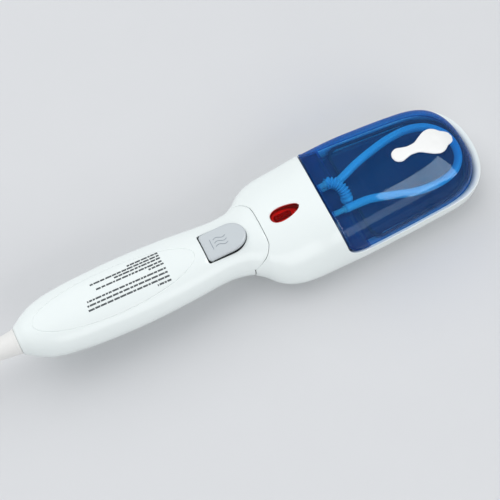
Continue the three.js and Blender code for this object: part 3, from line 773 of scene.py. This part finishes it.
def coil_path():
    """Turns of the cord: inward along the floor, then outward on top and down at the outside."""
    start = math.atan2(CORD_ROUTE[-1][1], CORD_ROUTE[-1][0] - COIL["x"])
    finish = math.atan2(TAIL_ROUTE[0][1], TAIL_ROUTE[0][0] - COIL["x"]) + 2 * math.pi
    turns = 7 + (finish - start) / (2 * math.pi)
    inner = COIL["inner"] + CORD_RADIUS + 0.2
    outer = COIL["outer"] - CORD_RADIUS - 0.1
    floor, top = 3.4, 9.95
    radius_of = curve([
        (0, math.hypot(CORD_ROUTE[-1][0] - COIL["x"], CORD_ROUTE[-1][1])), (0.2, outer), (1, outer - 5.6),
        (3.6, inner + 0.8), (4.05, inner), (4.4, inner + 0.4), (7.0, outer - 1.6), (turns - 0.32, outer),
        (turns - 0.16, outer + 3.4), (turns, math.hypot(TAIL_ROUTE[0][0] - COIL["x"], TAIL_ROUTE[0][1])),
    ])
    height_of = curve([
        (0, floor), (3.75, floor), (4.25, top), (turns - 0.3, top), (turns - 0.03, floor), (8, floor),
    ])
    points = []
    for turn in np.linspace(0, turns, int(turns * 32))[1:-1]:
        angle = start + 2 * math.pi * turn
        radius = radius_of(turn)
        points.append((COIL["x"] + radius * math.cos(angle), radius * math.sin(angle), height_of(turn)))
    return points


def curve_piece(name, points, radius, body, slot, *nodes, caps=True):
    data = bpy.data.curves.new(name, "CURVE")
    data.dimensions = "3D"
    data.bevel_depth = radius * MM
    data.bevel_resolution = 5
    data.use_fill_caps = caps
    spline = data.splines.new("POLY")
    spline.points.add(len(points) - 1)
    for target, point in zip(spline.points, points):
        target.co = (*(np.array(point) * MM), 1)
    spline.use_smooth = True
    made = bpy.data.objects.new(name, data)
    bpy.context.scene.collection.objects.link(made)
    data.materials.append(FINISH[slot])
    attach(made, body)
    if nodes:
        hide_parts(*nodes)
    return made


def lathe(name, profile, axis, place, slot, *nodes, body="body", sides=64):
    """A turned piece from (radius, along) pairs, about an axis through a place."""
    profile = smooth_corners(profile)
    rows = []
    for radius, along in profile:
        ring = []
        for a in around(sides):
            c, s = radius * math.cos(a), radius * math.sin(a)
            local = {"x": (along, c, s), "z": (c, s, along), "-z": (c, -s, -along)}[axis]
            ring.append(tuple(place[k] + local[k] for k in range(3)))
        rows.append(ring)
    bm = skin(rows, wrap=True)
    bmesh.ops.holes_fill(bm, edges=bm.edges, sides=sides)
    bmesh.ops.recalc_face_normals(bm, faces=bm.faces)
    return piece(name, bm, body, slot, *nodes)


def smooth_corners(profile, bevel=0.35):
    """Replaces each inner corner of a profile by a short arc."""
    p = [np.array(point, float) for point in profile]
    out = [p[0]]
    for before, corner, after in zip(p, p[1:], p[2:]):
        into, onward = corner - before, after - corner
        reach = min(bevel, np.linalg.norm(into) * 0.45, np.linalg.norm(onward) * 0.45)
        first = corner - into / np.linalg.norm(into) * reach
        third = corner + onward / np.linalg.norm(onward) * reach
        for t in (0, 0.25, 0.5, 0.75, 1):
            out.append(first * (1 - t) ** 2 + corner * 2 * t * (1 - t) + third * t ** 2)
    return out + [p[-1]]


def make_plug():
    rear, front, y, z = (PLUG[k] for k in ("rear", "front", "y", "z"))
    rows = []
    nose = front - 2 + 2 * np.sin(np.linspace(0.1, math.pi / 2, 8))
    for x in np.concatenate([np.linspace(rear, front - 2, 40), nose]):
        grow = 0.5 - 0.5 * math.cos(math.pi * min(1, (x - rear) / 16))
        groove = 0.35 * max(0, math.cos((x - rear) * math.pi / 1.6)) if 2 < x - rear < 12 else 0
        round_front = max(0, (x - front + 2) / 2)
        pull = 1.2 * (1 - math.sqrt(max(0, 1 - round_front ** 2)))
        half = 4.6 + 8 * grow - groove - pull
        thick = 4.4 + 2.6 * grow - groove - pull
        rows.append([
            (x, y + half * np.sign(math.cos(a)) * abs(math.cos(a)) ** 0.7,
             z + thick * np.sign(math.sin(a)) * abs(math.sin(a)) ** 0.7)
            for a in around(56)
        ])
    bm = skin(rows, wrap=True)
    bmesh.ops.holes_fill(bm, edges=bm.edges, sides=56)
    bmesh.ops.recalc_face_normals(bm, faces=bm.faces)
    body = piece("mains_plug", bm, "body", "cord_vinyl", "plug_body")
    pins = []
    for i, side in enumerate((-1, 1)):
        profile = [(0, 0), (2, 0), (2, 17), (1.5, 18.2), (0.7, 18.7), (0, 18.7)]
        place = (front + GAP, y + 9 * side, z)
        pins.append(lathe(f"brass_pin_{i + 1}", profile, "x", place, "brass", f"plug_pin_{i + 1}", sides=32))
    return [body, *pins]


def make_cord():
    relief = lathe("cord_relief", [
        (0, 0), (3.75, 0), (4.3, 10), (5.6, 24), (7.2, 38), (8.2, 46.2), (8.6, 47.2), (8.6, 48.6),
        (6.2, 48.6), (6.2, 52.5), (7.6, 52.5), (7.6, 54.5), (0, 54.5),
    ], "x", (RELIEF_END, 0, CORD_AXIS), "cord_vinyl", "strain_relief")
    lead_in = smooth_line(CORD_ROUTE, 3)
    tail = smooth_line(TAIL_ROUTE, 3)
    path = [(RELIEF_END + 1, 0, CORD_AXIS), *lead_in, *coil_path(), *tail]
    flex = curve_piece("mains_cord", path, CORD_RADIUS, "body", "cord_vinyl",
                       "cord", "cord_coil", "cord_tail")
    middle = (COIL["inner"] + COIL["outer"]) / 2
    half = (COIL["outer"] - COIL["inner"]) / 2 + 1.2
    corner = 3.0
    reach, high, low = half - corner, COIL["height"] - corner + 1, corner + 0.9
    loop = []
    for cx, cz, start in ((reach, high, 0), (-reach, high, 90), (-reach, low, 180), (reach, low, 270)):
        for a in np.radians(np.linspace(start, start + 90, 7)):
            loop.append((COIL["x"] - middle + cx + corner * math.cos(a), cz + corner * math.sin(a)))
    rows = [[(x, y, z) for x, z in loop] for y in np.linspace(4.6, -4.6, 12)]
    bm = skin(rows, wrap=True)
    shell(bm, 0.7, [(None, rounded(0.25, 0.7))])
    band = piece("coil_band", bm, "body", "dark_plastic", "coil_tie")
    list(make_plug())


make_cord()

# ---------------------------------------------------------------- white shells


def body_skin(start, end, pitch=PITCH):
    half = lambda x: side_line(x) * round_off(x, 112, END, 4.6)
    return [body_ring(x, 0.0) for x in stations(start, end, half, pitch)]


def handle_end():
    """Rings that close the handle's end round the strain relief."""
    rim = body_ring(-END, 0.0)
    centre = np.array([-END, 0, CORD_AXIS])
    hole = 6.7
    rows = []
    for share in (0.0, 0.25, 0.5, 0.75, 0.9):
        ring = rim - centre
        reach = np.linalg.norm(ring, axis=1, keepdims=True)
        drawn = ring / reach * (hole + (reach - hole) * share)
        drawn[:, 0] = -0.25 * math.sqrt(1 - share ** 2)
        rows.append(centre + drawn)
    return rows


def make_handle():
    grid = handle_end() + body_skin(-END, 14)
    button_room, screw_bore = 0.45, 3.5
    cover = skin(grid, wrap=True)
    trim(cover, both(outside(inside(seam_region(-GAP - EDGE), 0, 2)), above(PARTING + 0.15)))
    trim(cover, hole_through(moved(inside(button_outline(button_room)), -EDGE), low=38))
    line = imprint(cover, label_oval)
    make_room(cover, line, label_oval, 0.6)
    near_hole = lambda m: m.z > 38 and abs(m.y) < 12 and -39 < m.x < -4
    flared = rounded(EDGE, 0.8, 4, ((EDGE - 0.45, 1.5), (EDGE - 0.8, 2.05)))
    shell(cover, WALL, [(near_hole, flared), (None, rounded(EDGE, WALL))])
    carve(cover, line, label_oval, 0.8, 0.4)
    piece("handle_cover_shell", cover, "body", "white_shell", "handle_cover")

    base = skin(grid, wrap=True)
    trim(base, both(outside(inside(seam_region(-GAP - EDGE), 0, 2)), below(PARTING - 0.15)))
    for x in HANDLE_SCREWS:
        trim(base, hole_through(circle(x, 0, screw_bore + EDGE), high=22))
    near_bore = lambda m: m.z < 22 and any(math.hypot(m.x - x, m.y) < 5 for x in HANDLE_SCREWS)
    shell(base, WALL, [
        (near_bore, rounded(EDGE, 4.9, 4, ((EDGE + 1.6, 4.9),))),
        (None, rounded(EDGE, WALL)),
    ])
    piece("handle_base_shell", base, "body", "white_shell", "handle_base")


def make_housing():
    housing = skin(body_skin(-14, END), wrap=True)
    trim(housing, both(inside(seam_region(EDGE), 0, 2), above(SOLE_TOP + 0.15)))
    trim(housing, outside(inside(tank_region(-EDGE), 0, 2)))
    trim(housing, hole_through(moved(inside(lamp_outline(0.25)), -EDGE), low=36))
    rim_start = 66.5
    on_rim = lambda m: m.x > rim_start and m.z > RIM_TOP - EDGE - 0.1
    shell(housing, WALL, [(on_rim, rounded(EDGE, RIM_WIDTH)), (None, rounded(EDGE, WALL))])
    piece("head_shell", housing, "body", "white_shell", "head_housing")

    sole = skin(body_skin(-14, END), wrap=True)
    trim(sole, both(inside(seam_region(EDGE), 0, 2), below(SOLE_TOP - 0.15)))
    screw_bore, lift = 3.2, 0.6
    for v in sole.verts:
        v.co.z = lift + v.co.z * (1 - lift / SOLE_TOP)
    trim(sole, hole_through(moved(inside(head_plan(8.6, 43.6, 146.4)), -EDGE), high=3))
    for x, y in SOLE_SCREWS:
        trim(sole, hole_through(circle(x, y, screw_bore + EDGE), high=4))
    near_bore = lambda m: m.z < 4 and any(math.hypot(m.x - x, m.y - y) < 4.6 for x, y in SOLE_SCREWS)
    shell(sole, WALL, [
        (near_bore, rounded(EDGE, 2.6, 4, ((EDGE + 1.4, 2.6),))),
        (None, rounded(EDGE, WALL)),
    ])
    piece("sole_ring", sole, "body", "white_shell", "sole_frame")


def make_steam_plate():
    thickness, edge, hole_radius = 3.0, 0.4, 1.6
    middle, spacing, row_gap = 95, 22, 11
    plate = flat_grid(42, 148, -34, 34, lambda x, y: 0.0, 0.9, facing=-1)
    trim(plate, moved(inside(head_plan(9, 44, 146)), edge))
    for row in range(-2, 3):
        count = 4 if row % 2 == 0 else 3
        for i in range(count):
            x = middle + (i - (count - 1) / 2) * spacing
            trim(plate, outside(circle(x, row * row_gap, hole_radius + edge)))
    shell(plate, thickness, [(None, rounded(edge, thickness))])
    piece("sole_plate", plate, "body", "aluminium", "steam_plate")


def make_screws():
    heads = []
    for i, x in enumerate(HANDLE_SCREWS):
        heads.append((x, 0, float(belly_line(x)) + 2.4, f"handle_screw_{i + 1}"))
    for i, (x, y) in enumerate(SOLE_SCREWS):
        heads.append((x, y, 0.8, f"sole_screw_{i + 1}"))
    arm, slot_half, reach = 1.75, 0.42, 2.9
    arm_outline = np.array([(arm, -slot_half), (arm, slot_half), (slot_half, slot_half)])
    cross = [turn @ point for turn in QUARTER_TURNS for point in arm_outline]
    for x, y, z, name in heads:
        recess = inside([(x + a, y + b) for a, b in cross])
        dome = lambda px, py: z + 0.5 * (math.hypot(px - x, py - y) / reach) ** 2
        head = flat_grid(x - 3.2, x + 3.2, y - 3.2, y + 3.2, dome, 0.21, facing=-1)
        trim(head, circle(x, y, reach - 0.25))
        line = imprint(head, recess)
        shell(head, 1.2, [(None, rounded(0.25, 1.2))])
        sink(head, line, recess, 0.9, 0.05)
        shank_top = z + (22 if y == 0 else 13)
        shank = [(0, z + 1.3), (1.35, z + 1.3), (1.35, shank_top), (0, shank_top + 1)]
        rows = [[(x + r * math.cos(a), y + r * math.sin(a), h) for a in around(20)] for r, h in shank]
        absorb(head, skin([row[::-1] for row in rows], wrap=True))
        piece(f"cross_{name}", head, "body", "steel", name)


make_handle()
make_housing()
make_steam_plate()
make_screws()

# ---------------------------------------------------------------- water tank


def dome_span(x, z, shrink):
    """Half width of the dome at a height."""
    share = np.clip((z - RIM_TOP) / dome_rise(x), 0, 1) ** dome_fullness(x)
    return max(0.0, float(dome_half(x) * (1 - share) ** (1 / dome_fullness(x))) - shrink)


def curtain(inset, shrink, wall):
    """A wall that follows the tank's front edge from side to side."""
    line = even(np.array(tank_front(inset)), 46)
    line = np.array([p for p in line if p[1] < RIM_TOP + dome_rise(p[0]) - shrink - 0.4])
    rows = []
    for x, z in line:
        span = dome_span(x, z, shrink)
        rows.append([(x, y, z) for y in np.linspace(-span, span, 50)])
    return shell(skin(rows), wall, [(None, rounded(0.2, wall))])


def dome_skin(start, margin, pitch=1.1):
    return [dome_ring(x, margin) for x in stations(start, TANK_END - 0.02, lambda x: dome_half(x), pitch)]


def make_tank():
    tank = skin(dome_skin(42, 0.0))
    trim(tank, both(inside(tank_region(GAP + 0.6), 0, 2), above(RIM_TOP + 0.7)))
    bed_depth, shoulder, filler_radius = 1.1, 0.45, 5.3
    trim(tank, hole_through(circle(*FILLER, filler_radius), low=40))
    bed = patch_above(38, inside(cap_outline(1.5)))
    line = imprint(tank, bed)
    near_filler = lambda m: m.z > 40 and math.hypot(m.x - FILLER[0], m.y) < 6.2
    shell(tank, WALL, [(near_filler, rounded(0.3, WALL)), (None, rounded(0.6, WALL))])
    sink(tank, line, bed, bed_depth, shoulder)
    absorb(tank, curtain(GAP + 0.9, 1.0, 1.6))
    piece("blue_tank", tank, "body", "tank_blue", "water_tank")


def make_tray():
    plan = inside(head_plan(RIM_WIDTH - 0.9, 60, 160.4))
    lip, slope, drop = 1.1, 1.6, 1.5

    def height(points):
        t = np.clip((-plan(points) - lip) / slope, 0, 1)
        rib = 0.25 * np.maximum(0, np.cos(points[:, 0] * math.pi / 14)) ** 40
        return RIM_TOP - 0.55 - (drop - rib) * (3 * t ** 2 - 2 * t ** 3)

    tray = flat_grid(58, 163, -42, 42, lambda x, y: 0.0, 1.0)
    trim(tray, moved(plan, 0.3))
    heights = height(np.array([v.co for v in tray.verts]))
    for v, z in zip(list(tray.verts), heights):
        v.co.z = z
    shell(tray, 0.7, [(None, rounded(0.3, 0.7))])
    absorb(tray, curtain(-0.3, 2.6, 1.8))
    piece("tank_tray", tray, "body", "tank_base_navy", "tank_base")


def tube_skin(points, radius_at, sides=28, pitch=0.4):
    """A closed tube along a curve, whose radius changes with the distance along it."""
    line = smooth_line(points, pitch)
    run = np.gradient(line, axis=0)
    run /= np.linalg.norm(run, axis=1, keepdims=True)
    across = np.cross(run[0], (0, 0, 1.0))
    if np.linalg.norm(across) < 0.1:
        across = np.cross(run[0], (0, 1.0, 0))
    rows = []
    for i, (p, t) in enumerate(zip(line, run)):
        across = across - t * (across @ t)
        across /= np.linalg.norm(across)
        lift = np.cross(t, across)
        radius = radius_at(i * pitch)
        rows.append([p + radius * (across * math.cos(a) + lift * math.sin(a))
                     for a in around(sides)])
    bm = skin(rows, wrap=True)
    bmesh.ops.holes_fill(bm, edges=bm.edges, sides=sides)
    bmesh.ops.recalc_face_normals(bm, faces=bm.faces)
    return bm


def tube(name, points, radius_at, slot, *nodes, sides=28, pitch=0.4):
    return piece(name, tube_skin(points, radius_at, sides, pitch), "body", slot, *nodes)


def make_hoses():
    rib = 1.9
    ribbed = lambda along: 3.5 + 0.75 * math.cos(2 * math.pi * along / rib)
    tube("ribbed_elbow", BELLOWS_ROUTE, ribbed, "hose_vinyl", "pickup_bellows", pitch=0.22)
    tube("long_hose", WATER_ROUTE, lambda along: 2.8, "hose_vinyl", "water_hose", pitch=1.0)
    for name, radius, route in SMALL_HOSES:
        tube(f"soft_{name}", route, lambda along: radius, "hose_vinyl", name, sides=20, pitch=0.8)


def make_cap():
    sheet = skin([dome_ring(x, 0.9) for x in stations(99, 149.5, lambda x: dome_half(x), 0.55)])
    trim(sheet, patch_above(38, inside(cap_outline(-0.75))))
    big, dip = 134.0, 2.6
    for v in sheet.verts:
        reach = math.hypot(v.co.x - big, v.co.y)
        v.co.z -= 0.28 * math.exp(-(reach / dip) ** 4)
        v.co.z += 0.25 * math.exp(-(v.co.y / 7) ** 2)
    bead = 0.75
    upper = [(bead * math.sin(a), bead * (1 - math.cos(a))) for a in np.linspace(0, math.pi / 2, 6)[1:]]
    lower = [(bead * math.cos(a), 0.85 + bead * math.sin(a)) for a in np.linspace(0.1, 1.4, 4)]
    shell(sheet, 1.6, [(None, upper + lower)])
    profile = [(0, 50.9), (4.1, 50.9), (4.3, 49.8), (3.9, 49.2), (3.7, 47.4), (3.2, 47), (0, 47)]
    rows = [
        [(FILLER[0] + r * math.cos(a), r * math.sin(a), z) for a in around(48)]
        for r, z in smooth_corners(profile, 0.4)
    ]
    absorb(sheet, skin(rows, wrap=True))
    bmesh.ops.scale(sheet, vec=(MM, MM, MM), verts=sheet.verts)
    mesh = bpy.data.meshes.new("bone_cap")
    sheet.to_mesh(mesh)
    sheet.free()
    mesh.shade_smooth()
    cap = bpy.data.objects.new("bone_cap", mesh)
    bpy.context.scene.collection.objects.link(cap)
    mesh.materials.append(FINISH["silicone_white"])
    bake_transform(cap)
    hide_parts("filler_cap", "filler_cap_anchor")


make_tank()
make_tray()
make_hoses()
make_cap()

# ---------------------------------------------------------------- button, lamp and label


def button_top(x, y):
    """Height of the button's top: a tilted face with a soft crown and a sloped near edge."""
    along = (x - BUTTON["rear"]) / (BUTTON["front"] - BUTTON["rear"])
    face = BUTTON["rear_top"] + (BUTTON["front_top"] - BUTTON["rear_top"]) * along
    return face - 0.9 * (y / BUTTON["half"]) ** 4 - 0.5 * max(0.0, along - 0.6) ** 2 * 4


def make_button():
    top = flat_grid(-38, -5, -11, 11, button_top, 0.6)
    trim(top, moved(inside(button_outline(-0.05)), 1.5))
    depth = 8.0
    shell(top, 1.6, [(None, rounded(1.5, depth, 7))])
    piece("steam_button_cap", top, "button", "button_grey", "steam_button")
    lines = []
    for k in (-1, 0, 1):
        line = []
        for t in np.linspace(0, 1, 14):
            x = -28.4 + 8.6 * t
            y = 2.5 * k + 0.75 * math.sin(2 * math.pi * t)
            line.append((x, y, button_top(x, y) + 0.02))
        lines.append(line)
    lines.append([(-30.4, y, button_top(-30.4, y) + 0.02) for y in np.linspace(-3.6, 3.6, 10)])
    ink = finish_colour("button_mark", (0.27, 0.31, 0.35), 0.4, 0.05, 0.05)
    sign = bmesh.new()
    for line in lines:
        absorb(sign, tube_skin(line, lambda along: 0.2, sides=10, pitch=0.25))
    piece("steam_sign", sign, "button", "button_grey", finish=ink)


def make_lamp():
    lens = skin([body_ring(x, 0.35, 110, 20) for x in np.linspace(6, 38, 64)], wrap=True)
    trim(lens, patch_above(34, moved(inside(lamp_outline(0.0)), 0.6)))
    shell(lens, 1.2, [(None, rounded(0.6, 2.4, 5))])
    piece("red_lens", lens, "body", "lens_red", "lamp_lens")
    reflector = flat_grid(10, 35, -7, 7, lambda x, y: 41.0 + 0.05 * y * y, 0.7)
    trim(reflector, moved(inside(lamp_outline(0.0)), 0.7))
    shell(reflector, 1.0, [(None, rounded(0.3, 1.0))])
    dish = piece("lamp_dish", reflector, "body", "dark_plastic", "lamp_holder")
    dish.data.materials[0] = FINISH["white_shell"]
    profile = [(0, 0), (1.3, 0.2), (2.2, 1.4), (2.2, 11.1), (1.3, 12.3), (0, 12.5)]
    lathe("dark_lamp", profile, "x", (14.6, 0, 41.3), "lamp_glass", "neon_lamp", sides=32)


def crown_height(x, y):
    """Height of the body's upper surface over a plan point."""
    half = float(side_line(x))
    n = float(upper_fullness(x))
    middle = float(widest_line(x))
    return middle + (float(crown_line(x)) - middle) * (1 - min(1, abs(y) / half) ** n) ** (1 / n)


def make_label():
    """Plain bars where a label would carry its lines."""
    rng = random.Random(4)
    rows = [
        (11.1, -85.5, -64), (9, -112, -64), (6.9, -96, -64), (4.4, -110, -64), (2.3, -74, -63.5),
        (-1.2, -118, -63.5), (-4, -119, -63.5), (-6.8, -120, -63.5), (-9.6, -73, -63.5),
    ]
    bm = bmesh.new()
    lift, tall = 0.05, 1.2
    for across, start, end in rows:
        x = end
        while x > start:
            length = rng.uniform(1.3, 4.4)
            low = max(start, x - length)
            xs = np.linspace(low, x, max(2, int((x - low) / 0.8) + 1))
            ys = [across + side * tall / 2 for side in (1, 0, -1)]
            strip = [[(a, y, crown_height(a, y) + lift) for y in ys] for a in xs]
            bar = skin(strip)
            absorb(bm, shell(bar, 0.09, [(None, [(0.0, 0.09)])]))
            x = low - rng.uniform(0.4, 0.65)
    ink = finish_colour("print_grey", (0.075, 0.085, 0.09), 0.45, 0.05, 0.1)
    piece("label_bars", bm, "body", "white_shell", finish=ink)


make_button()
make_lamp()
make_label()

# ---------------------------------------------------------------- nodes that keep their CAD shape

KEPT = {
    "aluminium": ["heater_block"],
    "steel": ["heat_shield", "button_pin", "pump_spring", "thermostat"],
    "inner_plastic": ["pump_body", "pump_lid", "pump_piston", "inlet_valve", "outlet_valve", "pickup_filter",
                      "cord_clamp", "tank_fitting_1", "tank_fitting_2", "tank_fitting_3"],
    "seal_rubber": ["tank_gasket", "piston_seal"],
    "brass": ["thermal_fuse"],
    "dark_plastic": ["terminal_block", "lead_live", "lead_neutral"],
    "cord_vinyl": ["cord_core"],
}
for slot, names in KEPT.items():
    for name in names:
        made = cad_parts[name]
        made.data.materials.clear()
        made.data.materials.append(FINISH[slot])

# ---------------------------------------------------------------- studio


def make_floor():
    size = 3.0
    bpy.ops.mesh.primitive_plane_add(size=2 * size, location=(0, 0, -0.0005))
    floor = bpy.context.object
    floor.name = "studio_floor"
    floor.data.materials.append(finish_colour("paper", (0.66, 0.665, 0.675), 0.75, 0.05, 0.01, 60, 0.01))


def softbox(name, place, towards, size, power, colour=(1, 1, 1)):
    data = bpy.data.lights.new(name, "AREA")
    data.shape = "RECTANGLE"
    data.size, data.size_y = size
    data.energy = power
    data.color = colour
    made = bpy.data.objects.new(name, data)
    made.location = place
    made.rotation_euler = (Vector(towards) - Vector(place)).to_track_quat("-Z", "Y").to_euler()
    bpy.context.scene.collection.objects.link(made)
    return made


def light_studio():
    centre = (0.0, 0.0, 0.03)
    key = softbox("key_softbox", (-0.5, 1.1, 1.8), centre, (2.4, 2.4), 30)
    key.visible_glossy = False
    wedge = softbox("window_softbox", (0.86, -0.36, 1.0), (0.1, 0, 0.05), (1.1, 0.9), 18)
    wedge.rotation_euler.rotate_axis("Z", math.radians(45))
    wedge.visible_diffuse = False
    softbox("fill_softbox", (0.3, -1.6, 1.2), centre, (1.8, 1.0), 11)
    world = bpy.data.worlds.new("studio")
    world.use_nodes = True
    world.node_tree.nodes["Background"].inputs["Color"].default_value = (0.93, 0.96, 1.0, 1)
    world.node_tree.nodes["Background"].inputs["Strength"].default_value = 0.58
    bpy.context.scene.world = world
    bpy.context.scene.view_settings.view_transform = "Standard"
    bpy.context.scene.view_settings.look = "None"


make_floor()
light_studio()
